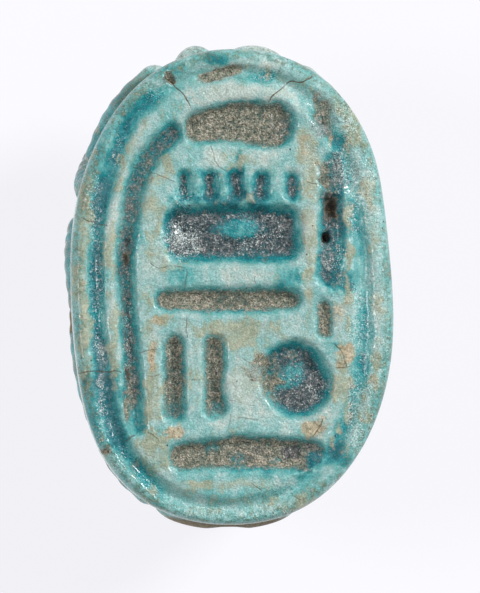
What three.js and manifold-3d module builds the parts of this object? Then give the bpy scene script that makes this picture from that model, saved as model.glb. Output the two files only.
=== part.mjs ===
import * as THREE from "three";
import { mergeVertices } from "three/addons/utils/BufferGeometryUtils.js";
import Module from "manifold-3d";

// A scarab amulet cut from one piece. It lies on its domed back with the flat, carved base face up.
// Millimetres. +Z is up, +Y points to the head, and +X is to the right seen from above. The origin
// is in the middle of the base outline, on the surface that the back lies on.

const wasm = await Module();
wasm.setup();

// Driving dimensions of the body.
const HALF_WIDTH = 5.48;
const HALF_LENGTH = 8.1;
const HEIGHT = 7.0;
const AROUND = 66; // facets round the body

// The hand-cut outline: a full oval, a little wider at its ends, leaning and swaying off its axis,
// and fuller on the right near the head.
const OVAL_POWER = 2.16;
const TAPER = -0.027;
const BULGE = 0.1;
const LEAN = 0.017;
const SWAY = 0.07;
const SWAY_WAVES = 0.85;
const FULLNESS = { most: 0.09, y: 4.5, reach: 1.7 };

// The base plate, from its worn, rounded rim down to the groove that parts it from the legs.
const RIM_ROUND = 0.5; // how far in from the outline the rim's rounding begins
const RIM_FALL = 0.42; // how far down it ends
const RIM_FACETS = 3;
const PLATE_LOWER_ROUND = 0.13;
const PLATE_THICKNESS = 1.3;

// The border line cut round the base face.
const BORDER_HALF_WIDTH = 4.6;
const BORDER_HALF_LENGTH = 7.42;
const BORDER_MIDDLE = [-0.1, -0.12];
const BORDER_LINE_WIDTH = 0.66;
const BORDER_DEPTH = 0.28;

// The flank between the plate and the back, which the legs cover.
const FLANK_INSET = 0.8;
const FLANK_SLOPE = 1.3; // how far its lower edge draws in under the legs

// The back, thorax and wing cases in one: a dome that ends in a margin standing out over the legs.
// Its crown is worn flat, and its head end is blunter in plan than its tail.
const BACK_HALF_WIDTH = 5.12;
const BACK_HALF_LENGTH = 6.4;
const BACK_MIDDLE = -1.2;
const BACK_HEAD_POWER = 2.8;
const BACK_MARGIN = 3.6;
const BACK_EDGE = 0.22;
const BACK_CROWN_WEAR = 0.2;
const FALL_START = 0.4;
const BACK_POWER = 2.1;
const BACK_RINGS = 7;
const HEAD_FALL = 0.42; // how far the back falls away towards the head, as a share of its depth

// The head and the two lobes of its front edge, which reach just past the plate, and the tail end
// of the wing cases, which does the same.
const HEAD = { radii: [2.75, 2.5, 2.0], middle: [0, 5.25, 4.75] };
const EYE = { radii: [0.55, 0.7, 0.6], middle: [2.35, 5.2, 3.75] };
const LOBES = [
  { radii: [0.85, 1.25, 0.75], middle: [-1.12, 7.03, 4.95] },
  { radii: [1.3, 1.2, 0.75], middle: [0.68, 7.1, 4.95] },
];
const TAIL = { radii: [2.23, 0.95, 1.15], middle: [0.02, -7.33, 4.5] };

// Each leg is a bar on the flank: stations from the head towards the tail as [y, z], half its
// breadth, and how far it stands past the outline.
const LEGS = [
  { path: [[7.08, 5], [6.2, 4.95], [5.4, 4.85], [4.5, 4.75]], breadth: 0.6, proud: 0.1 }, // fore shin
  { path: [[4.3, 3.7], [3.6, 4.5], [3.3, 5.3]], breadth: 0.6, proud: 0.09 }, // fore thigh
  { path: [[1.95, 3.75], [1, 4.5], [-0.5, 5.4]], breadth: 0.68, proud: -0.03 }, // middle leg
  { path: [[-0.9, 3.75], [-2.3, 4.4], [-4.2, 5.3]], breadth: 0.7, proud: -0.15 }, // hind thigh
  { path: [[-4.2, 4.35], [-5.6, 4.7], [-6.9, 5.3]], breadth: 0.58, proud: -0.2 }, // hind shin
];
const LEG_HALF_THICKNESS = 0.62;
const LEGS_LEAN = 0.09; // how far all the legs are moved to the left

// The strokes cut into the base face: stations as [x, y] along the middle, the widths at both ends
// and the depth.
const STROKES = [
  { path: [[-1.1, 5.42], [0.05, 5.6], [1.3, 5.5]], widths: [1.1, 1.6], depth: 0.44 }, // top bar
  {
    path: [[-2.06, 5.2], [-2.7, 4.58], [-3.28, 3.5], [-3.6, 1.6], [-3.58, -0.5], [-3.45, -2.4], [-3.25, -4.8]],
    widths: [0.7, 0.58],
    depth: 0.35,
  }, // curved stroke
  { path: [[-1.69, 2.05], [1.73, 2.1]], widths: [1.3, 1.3], depth: 0.44 }, // broad bar, upper half
  { path: [[-1.69, 1.48], [1.73, 1.5]], widths: [1.3, 1.3], depth: 0.46 }, // broad bar, lower half
  { path: [[-2.22, -0.47], [1.95, -0.44]], widths: [0.76, 0.76], depth: 0.38 }, // thin bar
  { path: [[2.12, -2.97], [2.28, -3.34]], widths: [2.05, 2.1], depth: 0.44 }, // short broad stroke
  { path: [[-1.65, -5.78], [0.5, -5.62], [2.62, -5.76]], widths: [1.1, 1.1], depth: 0.38 }, // bottom bar
  { path: [[-1.97, -4.2], [-1.97, -2.0]], widths: [0.66, 0.6], depth: 0.38 }, // first tall upright
  { path: [[-0.58, -4.12], [-0.6, -1.98]], widths: [0.66, 0.6], depth: 0.38 }, // second tall upright
  { path: [[3.3, 2.95], [3.36, 1.7], [3.24, 0.4]], widths: [0.76, 0.76], depth: 0.32 }, // right side, long
  { path: [[3.13, -0.7], [3.17, -1.5]], widths: [0.48, 0.5], depth: 0.28 }, // right side, short
];

// The row of short upright strokes above the broad bar.
const TEETH = { xs: [-1.66, -0.78, 0.1, 0.98, 2.06], ys: [3.2, 3.78], width: 0.48, depth: 0.3 };

// The hole for the string, from the head to the tail.
const HOLE_RADIUS = 0.75;
const HOLE_HEIGHT = 4.15;

// The lines cut into the back.
const LINE_WIDTH = 0.3;
const LINE_DEPTH = 0.2;
const THORAX_END = 1.7; // y of the line between the thorax and the wing cases
const THORAX_LINE_REACH = 4.55;
const THORAX_LINE_BOW = 0.45;

const Z_AXIS = new THREE.Vector3(0, 0, 1);

// A closed three.js geometry as a solid that can be joined and cut. Triangles that a pole or a
// seam pinched to a line are left out.
function solid(geometry) {
  const bare = geometry.clone();
  bare.deleteAttribute("normal");
  bare.deleteAttribute("uv");
  const merged = mergeVertices(bare, 1e-5);
  const corners = [];
  for (let i = 0; i < merged.index.count; i += 3) {
    const [a, b, c] = [0, 1, 2].map((k) => merged.index.getX(i + k));
    if (a !== b && b !== c && c !== a) corners.push(a, b, c);
  }
  return new wasm.Manifold(new wasm.Mesh({
    numProp: 3,
    vertProperties: merged.attributes.position.array,
    triVerts: new Uint32Array(corners),
  }));
}

// Moves every vertex of a geometry to where the rule puts it.
function reshape(geometry, rule) {
  const places = geometry.attributes.position;
  const point = new THREE.Vector3();
  for (let i = 0; i < places.count; i++) {
    point.fromBufferAttribute(places, i);
    places.setXYZ(i, ...rule(point));
  }
  return geometry;
}

// The hand-cut unevenness of the body, the same at every height.
function uneven(geometry) {
  return reshape(geometry, ({ x, y, z }) => {
    const v = y / HALF_LENGTH;
    const wide = 1 + TAPER * v + BULGE * v * v;
    const shift = LEAN * v - SWAY * Math.sin(2 * Math.PI * SWAY_WAVES * v);
    const fuller = Math.exp(-(((y - FULLNESS.y) / FULLNESS.reach) ** 2)) * (Math.max(x, 0) / HALF_WIDTH);
    return [x * wide + shift + FULLNESS.most * fuller, y, z];
  });
}

// A lathe drawn out into an oval. The profile is a list of [half width, z], lengthAt gives the half
// length of the ring that has a given half width, and headPower says how blunt the head end is.
function ovalLathe(profile, lengthAt, headPower = OVAL_POWER) {
  const points = profile.map(([halfWidth, z]) => new THREE.Vector2(halfWidth, z));
  const round = new THREE.LatheGeometry(points, AROUND).rotateX(Math.PI / 2);
  const bend = (part, power) => Math.sign(part) * Math.abs(part) ** (2 / power);
  return reshape(round, ({ x, y, z }) => {
    const halfWidth = Math.hypot(x, y);
    if (halfWidth < 1e-6) return [0, 0, z];
    const power = y > 0 ? headPower : OVAL_POWER;
    return [bend(x / halfWidth, power) * halfWidth, bend(y / halfWidth, power) * lengthAt(halfWidth), z];
  });
}

// A capsule laid along a curve: halves are half its breadth at either end, deep its half thickness
// towards up, a function that gives the upward direction at a point.
function capsuleAlong(curve, halves, deep, up, sides, steps, caps = 2) {
  const geometry = new THREE.CapsuleGeometry(1, 2, caps, sides, steps);
  return reshape(geometry, ({ x, y, z }) => {
    const inside = THREE.MathUtils.clamp(y, -1, 1);
    const along = (inside + 1) / 2;
    const point = curve.getPoint(along);
    const tangent = curve.getTangent(along);
    const side = tangent.clone().cross(up(point)).normalize();
    const out = side.clone().cross(tangent);
    const across = THREE.MathUtils.lerp(halves[0], halves[1], along);
    return point
      .addScaledVector(side, x * across)
      .addScaledVector(out, z * deep)
      .addScaledVector(tangent, (y - inside) * across);
  });
}

function curveThrough(points) {
  const stations = points.map(([x, y, z]) => new THREE.Vector3(x, y, z));
  return stations.length === 2 ? new THREE.LineCurve3(...stations) : new THREE.CatmullRomCurve3(stations);
}

function ellipsoid({ radii, middle }, x = middle[0]) {
  const around = radii[0] > 1 ? 24 : 12;
  return new THREE.SphereGeometry(1, around, around / 2).scale(...radii).translate(x, middle[1], middle[2]);
}

// Half the width of the even base outline at a given y.
function halfWidthAt(y) {
  return HALF_WIDTH * (1 - Math.abs(y / HALF_LENGTH) ** OVAL_POWER) ** (1 / OVAL_POWER);
}

function basePlate() {
  const bottom = HEIGHT - PLATE_THICKNESS;
  const profile = [
    [0, bottom],
    [HALF_WIDTH - PLATE_LOWER_ROUND, bottom],
    [HALF_WIDTH, bottom + PLATE_LOWER_ROUND],
  ];
  for (let facet = 0; facet <= RIM_FACETS; facet++) {
    const turn = (Math.PI / 2) * (facet / RIM_FACETS);
    const inwards = RIM_ROUND * (1 - Math.cos(turn));
    profile.push([HALF_WIDTH - inwards, HEIGHT - RIM_FALL * (1 - Math.sin(turn))]);
  }
  profile.push([0, HEIGHT]);
  return ovalLathe(profile, (halfWidth) => halfWidth + HALF_LENGTH - HALF_WIDTH);
}

function flank() {
  const halfWidth = HALF_WIDTH - FLANK_INSET;
  const bottom = BACK_MARGIN - 0.4;
  const top = HEIGHT - PLATE_THICKNESS / 2;
  const profile = [
    [0, bottom],
    [halfWidth - FLANK_SLOPE, bottom],
    [halfWidth, bottom + FLANK_SLOPE],
    [halfWidth, top],
    [0, top],
  ];
  return ovalLathe(profile, (width) => width + HALF_LENGTH - HALF_WIDTH);
}

// Height of the back's surface at a share of the way from its crown to its margin.
function backProfile(share) {
  const depth = (BACK_MARGIN + BACK_CROWN_WEAR) * (1 - share ** BACK_POWER) ** (1 / BACK_POWER);
  return Math.max(0, BACK_MARGIN - depth);
}

// Towards the head the back falls away from its crown to its margin sooner than at the tail.
function fallToHead(y, z) {
  const reach = BACK_HALF_LENGTH + BACK_MIDDLE - FALL_START;
  const share = THREE.MathUtils.clamp((y - FALL_START) / reach, 0, 1);
  return z + Math.max(0, BACK_MARGIN - z) * HEAD_FALL * share * share;
}

// Height of the back's surface at any x and y, for the lines that run over it.
function backHeight(x, y) {
  const power = y > BACK_MIDDLE ? BACK_HEAD_POWER : OVAL_POWER;
  const across = Math.abs(x / BACK_HALF_WIDTH) ** power;
  const along = Math.abs((y - BACK_MIDDLE) / BACK_HALF_LENGTH) ** power;
  return fallToHead(y, backProfile(Math.min(1, (across + along) ** (1 / power))));
}

function back() {
  const flat = (1 - (BACK_MARGIN / (BACK_MARGIN + BACK_CROWN_WEAR)) ** BACK_POWER) ** (1 / BACK_POWER);
  const profile = [[0, 0]];
  for (let ring = 0; ring <= BACK_RINGS; ring++) {
    const share = flat + (1 - flat) * Math.sin((Math.PI / 2) * (ring / BACK_RINGS));
    profile.push([BACK_HALF_WIDTH * share, backProfile(share)]);
  }
  profile.push([BACK_HALF_WIDTH - 0.08, BACK_MARGIN + BACK_EDGE], [0, BACK_MARGIN + BACK_EDGE]);
  const lengthAt = (halfWidth) => (halfWidth * BACK_HALF_LENGTH) / BACK_HALF_WIDTH;
  const dome = ovalLathe(profile, lengthAt, BACK_HEAD_POWER).translate(0, BACK_MIDDLE, 0);
  return reshape(dome, ({ x, y, z }) => [x, y, fallToHead(y, z)]);
}

function leg({ path, breadth, proud }, side) {
  const reach = proud - LEG_HALF_THICKNESS;
  const curve = curveThrough(path.map(([y, z]) => [side * (halfWidthAt(y) + reach) - LEGS_LEAN, y, z]));
  const outward = ({ x, y }) => new THREE.Vector3(x / HALF_WIDTH ** 2, y / HALF_LENGTH ** 2, 0).normalize();
  return capsuleAlong(curve, [breadth, breadth], LEG_HALF_THICKNESS, outward, 8, 4);
}

function borderLine() {
  const half = BORDER_LINE_WIDTH / 2;
  const profile = [
    [BORDER_HALF_WIDTH - half, HEIGHT + 0.2],
    [BORDER_HALF_WIDTH - half, HEIGHT - 0.06],
    [BORDER_HALF_WIDTH - half * 0.4, HEIGHT - BORDER_DEPTH],
    [BORDER_HALF_WIDTH + half * 0.4, HEIGHT - BORDER_DEPTH],
    [BORDER_HALF_WIDTH + half, HEIGHT - 0.06],
    [BORDER_HALF_WIDTH + half, HEIGHT + 0.2],
    [BORDER_HALF_WIDTH - half, HEIGHT + 0.2],
  ];
  const ring = ovalLathe(profile, (halfWidth) => halfWidth + BORDER_HALF_LENGTH - BORDER_HALF_WIDTH);
  return ring.translate(...BORDER_MIDDLE, 0);
}

function stroke({ path, widths, depth }) {
  const curve = curveThrough(path.map(([x, y]) => [x, y, HEIGHT]));
  const halves = widths.map((width) => width / 2);
  const steps = { 2: 1, 3: 6 }[path.length] ?? 16;
  return capsuleAlong(curve, halves, depth, () => Z_AXIS, 12, steps, 3);
}

function teeth({ xs, ys, width, depth }) {
  return xs.map((x) => stroke({ path: ys.map((y) => [x, y]), widths: [width, width], depth }));
}

// A line on the back, through points given as [x, y].
function backLine(points, steps) {
  const curve = curveThrough(points.map(([x, y]) => [x, y, backHeight(x, y)]));
  return capsuleAlong(curve, [LINE_WIDTH / 2, LINE_WIDTH / 2], LINE_DEPTH, () => Z_AXIS, 6, steps);
}

function backLines() {
  const spread = [-1, -0.85, -0.6, -0.3, 0, 0.3, 0.6, 0.85, 1];
  const thoraxLine = spread.map((s) => [s * THORAX_LINE_REACH, THORAX_END + THORAX_LINE_BOW * s * s]);
  const tail = BACK_MIDDLE - BACK_HALF_LENGTH;
  const down = [0, 0.2, 0.4, 0.6, 0.8, 0.94].map((s) => [0, THREE.MathUtils.lerp(THORAX_END, tail, s)]);
  return [backLine(thoraxLine, 18), backLine(down, 14)];
}

function stringHole() {
  const length = 2 * HALF_LENGTH + 4;
  return new THREE.CylinderGeometry(HOLE_RADIUS, HOLE_RADIUS, length, 16).translate(0, 0, HOLE_HEIGHT);
}

const joined = (first, ...rest) => rest.reduce((whole, next) => whole.add(solid(next)), solid(first));

function scarabGeometry() {
  const eyes = [-1, 1].map((side) => ellipsoid(EYE, side * EYE.middle[0]));
  const lobes = LOBES.map((lobe) => ellipsoid(lobe));
  const legs = [-1, 1].flatMap((side) => LEGS.map((each) => leg(each, side)));
  const added = [basePlate(), flank(), back(), ellipsoid(HEAD), ...eyes, ...lobes, ellipsoid(TAIL), ...legs];
  const cut = [borderLine(), ...backLines()].map(uneven);
  const drawn = [stringHole(), ...STROKES.map(stroke), ...teeth(TEETH)];
  const body = joined(...added.map(uneven)).subtract(joined(...cut)).subtract(joined(...drawn));
  const mesh = body.getMesh();
  const geometry = new THREE.BufferGeometry();
  geometry.setAttribute("position", new THREE.BufferAttribute(mesh.vertProperties, 3));
  geometry.setIndex(new THREE.BufferAttribute(mesh.triVerts, 1));
  geometry.computeVertexNormals();
  return geometry;
}

const glaze = new THREE.MeshStandardMaterial({ color: 0x93b5ac, roughness: 0.35, metalness: 0 });
const scarab = new THREE.Mesh(scarabGeometry(), glaze);
scarab.name = "scarab";

const group = new THREE.Group();
group.add(scarab);

export default group;
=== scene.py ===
# A glazed scarab amulet, lying on its domed back with its carved base face up, on a pale floor.
import math

import bpy
import numpy as np
from mathutils import Matrix, Vector


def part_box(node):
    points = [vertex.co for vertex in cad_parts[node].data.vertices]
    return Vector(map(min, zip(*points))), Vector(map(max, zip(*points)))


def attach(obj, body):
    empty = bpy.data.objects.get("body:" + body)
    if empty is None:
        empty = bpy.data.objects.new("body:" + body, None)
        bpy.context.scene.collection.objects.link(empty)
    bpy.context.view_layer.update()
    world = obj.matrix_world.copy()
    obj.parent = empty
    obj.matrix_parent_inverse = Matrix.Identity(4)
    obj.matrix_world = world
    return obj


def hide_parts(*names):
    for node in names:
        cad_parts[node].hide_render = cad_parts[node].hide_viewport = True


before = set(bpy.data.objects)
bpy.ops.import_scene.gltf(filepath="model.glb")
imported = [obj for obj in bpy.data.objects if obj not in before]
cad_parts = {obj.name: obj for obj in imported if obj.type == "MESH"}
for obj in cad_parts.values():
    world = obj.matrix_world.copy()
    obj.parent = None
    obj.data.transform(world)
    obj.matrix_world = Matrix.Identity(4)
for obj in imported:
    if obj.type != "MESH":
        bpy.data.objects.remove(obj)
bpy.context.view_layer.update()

# Shapes are worked out in millimetres and put into the meshes in metres.
MM = 0.001

# -------- sizes of the body
HALF_WIDTH = 5.48
HALF_LENGTH = 8.1
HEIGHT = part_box("scarab")[1][2] / MM

# The hand-cut outline.
OVAL_POWER = 2.16
TAPER = -0.027
BULGE = 0.1
LEAN = 0.017
SWAY = 0.07
SWAY_WAVES = 0.85
FULLNESS = (0.09, 4.5, 1.7)  # how much fuller the right side is, at which y, and over how much of it

RIM_ROUND = 0.5
RIM_FALL = 0.42
PLATE_THICKNESS = 1.3
FLANK_INSET = 0.8
FLANK_SLOPE = 1.3

BORDER_HALF_WIDTH = 4.6
BORDER_HALF_LENGTH = 7.42
BORDER_MIDDLE = (-0.1, -0.12)
BORDER_LINE_WIDTH = 0.64
BORDER_DEPTH = 0.32
# Where the border line stands farther out, and where it is worn shallow: by how much, and the
# middle and reach of the place.
BORDER_FULLER = (0.2, (-3.0, 5.6), (1.5, 1.5))
BORDER_WORN = (0.5, (3.9, 4.4), (1.3, 1.9))

BACK_HALF_WIDTH = 5.12
BACK_HALF_LENGTH = 6.4
BACK_MIDDLE = -1.2
BACK_HEAD_POWER = 2.8
BACK_MARGIN = 3.6
BACK_EDGE = 0.22
BACK_CROWN_WEAR = 0.2
FALL_START = 0.4  # from which y the back falls away towards the head
BACK_POWER = 2.1
HEAD_FALL = 0.42

HEAD = ((2.75, 2.5, 2.0), (0, 5.25, 4.75))
EYE = ((0.55, 0.7, 0.6), (2.35, 5.2, 3.75))
LOBES = (
    ((0.85, 1.25, 0.75), (-1.12, 7.03, 4.95)),
    ((1.3, 1.2, 0.75), (0.68, 7.1, 4.95)),
)
TAIL = ((2.23, 0.95, 1.15), (0.02, -7.33, 4.5))

# Each leg: stations as (y, z) from the head towards the tail, half its breadth, and how far it
# stands past the outline.
LEGS = (
    (((7.08, 5), (6.2, 4.95), (5.4, 4.85), (4.5, 4.75)), 0.6, 0.1),
    (((4.3, 3.7), (3.6, 4.5), (3.3, 5.3)), 0.6, 0.09),
    (((1.95, 3.75), (1, 4.5), (-0.5, 5.4)), 0.68, -0.03),
    (((-0.9, 3.75), (-2.3, 4.4), (-4.2, 5.3)), 0.7, -0.15),
    (((-4.2, 4.35), (-5.6, 4.7), (-6.9, 5.3)), 0.58, -0.2),
)
LEG_HALF_THICKNESS = 0.62
LEGS_LEAN = 0.09  # how much farther the legs stand out on the left side than on the right

THORAX_END = 1.7
THORAX_LINE_REACH = 4.55
THORAX_LINE_BOW = 0.45
HOLE_RADIUS = 0.75
HOLE_HEIGHT = 4.15
HOLE_SIDES = 40
HOLE_FLARE = 1.35  # how much wider the hole's bar is beyond the ends of the body

# -------- the carving of the base face
# Each stroke: stations as (x, y) along its middle, its width at each station, its depth, and how
# much of the brown and of the black deposit lies in it.
STROKES = (
    (((-1.1, 5.42), (0.05, 5.6), (1.3, 5.5)), (1, 1.3, 1.5), 0.44, 0.9, 0.15),
    (((-2.06, 5.2), (-2.7, 4.58), (-3.28, 3.5), (-3.6, 1.6), (-3.58, -0.5), (-3.45, -2.4), (-3.25, -4.8)),
     (0.58, 0.62, 0.62, 0.58, 0.54, 0.5, 0.46), 0.36, 0.45, 0.5),
    (((-1.69, 2.05), (1.73, 2.1)), (1.22, 1.22), 0.46, 0, 1),
    (((-1.69, 1.48), (1.73, 1.5)), (1.22, 1.22), 0.48, 0, 1),
    (((-2.22, -0.47), (1.95, -0.44)), (0.66, 0.66), 0.4, 0.9, 0.05),
    (((2.1, -2.97), (2.28, -3.34)), (2.1, 2.12), 0.46, 0.1, 0.95),
    (((-1.65, -5.78), (0.5, -5.62), (2.62, -5.76)), (0.9, 1, 0.96), 0.4, 0.9, 0.1),
    (((-1.97, -4.2), (-1.97, -2)), (0.62, 0.56), 0.4, 0.85, 0.3),
    (((-0.58, -4.12), (-0.6, -1.98)), (0.62, 0.56), 0.4, 0.9, 0.25),
    (((3.45, 4.25), (3.36, 3.2)), (0.6, 0.6), 0.14, 0.45, 0.2),
    (((3.3, 2.95), (3.36, 1.7), (3.24, 0.4)), (0.62, 0.8, 0.6), 0.3, 0.25, 0.65),
    (((3.13, -0.7), (3.17, -1.5)), (0.4, 0.42), 0.3, 0.9, 0),
)
# The row of short upright strokes.
TEETH_XS = (-1.66, -0.78, 0.1, 0.98, 2.06)
TEETH_YS = (3.2, 3.7)
TEETH_WIDTH = 0.42
TEETH_DEPTH = 0.32

SHOULDER = 0.24  # how far outside its edge a stroke starts to fall
SETTLED = (0.02, 0.0)  # how far left of a stroke's middle, and how far below it, its grains lie
WALL = 0.26  # how far inside its edge a stroke reaches its floor

# Damage: x and y of the middle, half sizes along x and y, turn in degrees, depth, brown and
# black deposit.
MARKS = (
    (3.33, 2.62, 0.26, 0.44, -6, 0.16, 1.5, 0.5),
    (1.55, 5.35, 0.35, 0.6, 0, 0, 0, 0.42),
    (3.12, 5.42, 0.26, 0.32, 0, 0.04, 0.3, 0.5),
    (-3.62, 1, 0.1, 0.3, 0, 0.04, 1.2, 0.3),
    (-3.6, 1.55, 0.08, 0.14, 0, 0.04, 0.3, 1.5),
    (-3.55, -4.1, 0.16, 0.5, 0, 0.02, 1, 0.2),
    (3.18, 1.7, 0.16, 0.2, 0, 0.3, 0.4, 1.5),
    (0.98, -2.85, 0.34, 0.5, 10, 0.02, 0.6, 0),
    (2.1, -5.6, 0.55, 0.3, 4, 0, 0, 0.9),
    (0.95, -5.5, 0.3, 0.2, 0, 0, 0, 0.5),
    (0.3, -5.85, 0.4, 0.14, 0, 0, 0, 0.6),
    (-2.18, 7.12, 0.12, 0.3, 32, 0.14, 1.4, 0),
    (-4.3, -5.6, 0.24, 0.13, 20, 0.1, 0.9, 0),
    (3.04, 5.9, 0.32, 0.76, 26, 0.12, 0.75, 0.1),
    (3.08, 3.85, 0.22, 0.55, 8, 0.08, 0.9, 0),
    (3.6, 3.9, 0.6, 0.7, 0, 0.06, 0, 0.15),
    (-0.3, 7.28, 0.82, 0.2, 16, 0.1, 1.2, 0),
    (-4.98, -6, 0.3, 0.1, 40, 0.06, 0.8, 0),
)

# Places where a stroke's floor is uneven: x and y of the middle, half sizes, how far it rises
# there, and how much of the grains have gone, so that the glaze shows.
SHOALS = (
    (0.17, 2, 0.95, 0.42, 0.12, 0.9),
    (-2.64, 1.3, 1, 0.9, 0.3, 0),
    (-3.3, -4.5, 0.3, 0.8, 0, 0.75),
    (-1.97, -4.3, 0.3, 0.4, 0, 0.5),
    (-0.58, -4.2, 0.3, 0.4, 0, 0.5),
    (2.1, -3.04, 0.48, 0.46, 0.04, 0.65),
    (2.85, -5.9, 0.4, 0.4, 0.1, 0.7),
    (0.2, -5.8, 0.4, 0.24, 0, 0.4),
    (1.5, -5.9, 0.3, 0.14, 0, 0.45),
    (-0.7, -5.5, 0.3, 0.2, 0, 0.35),
    (1.8, 5.35, 0.3, 0.5, 0.06, 0.3),
)

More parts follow.
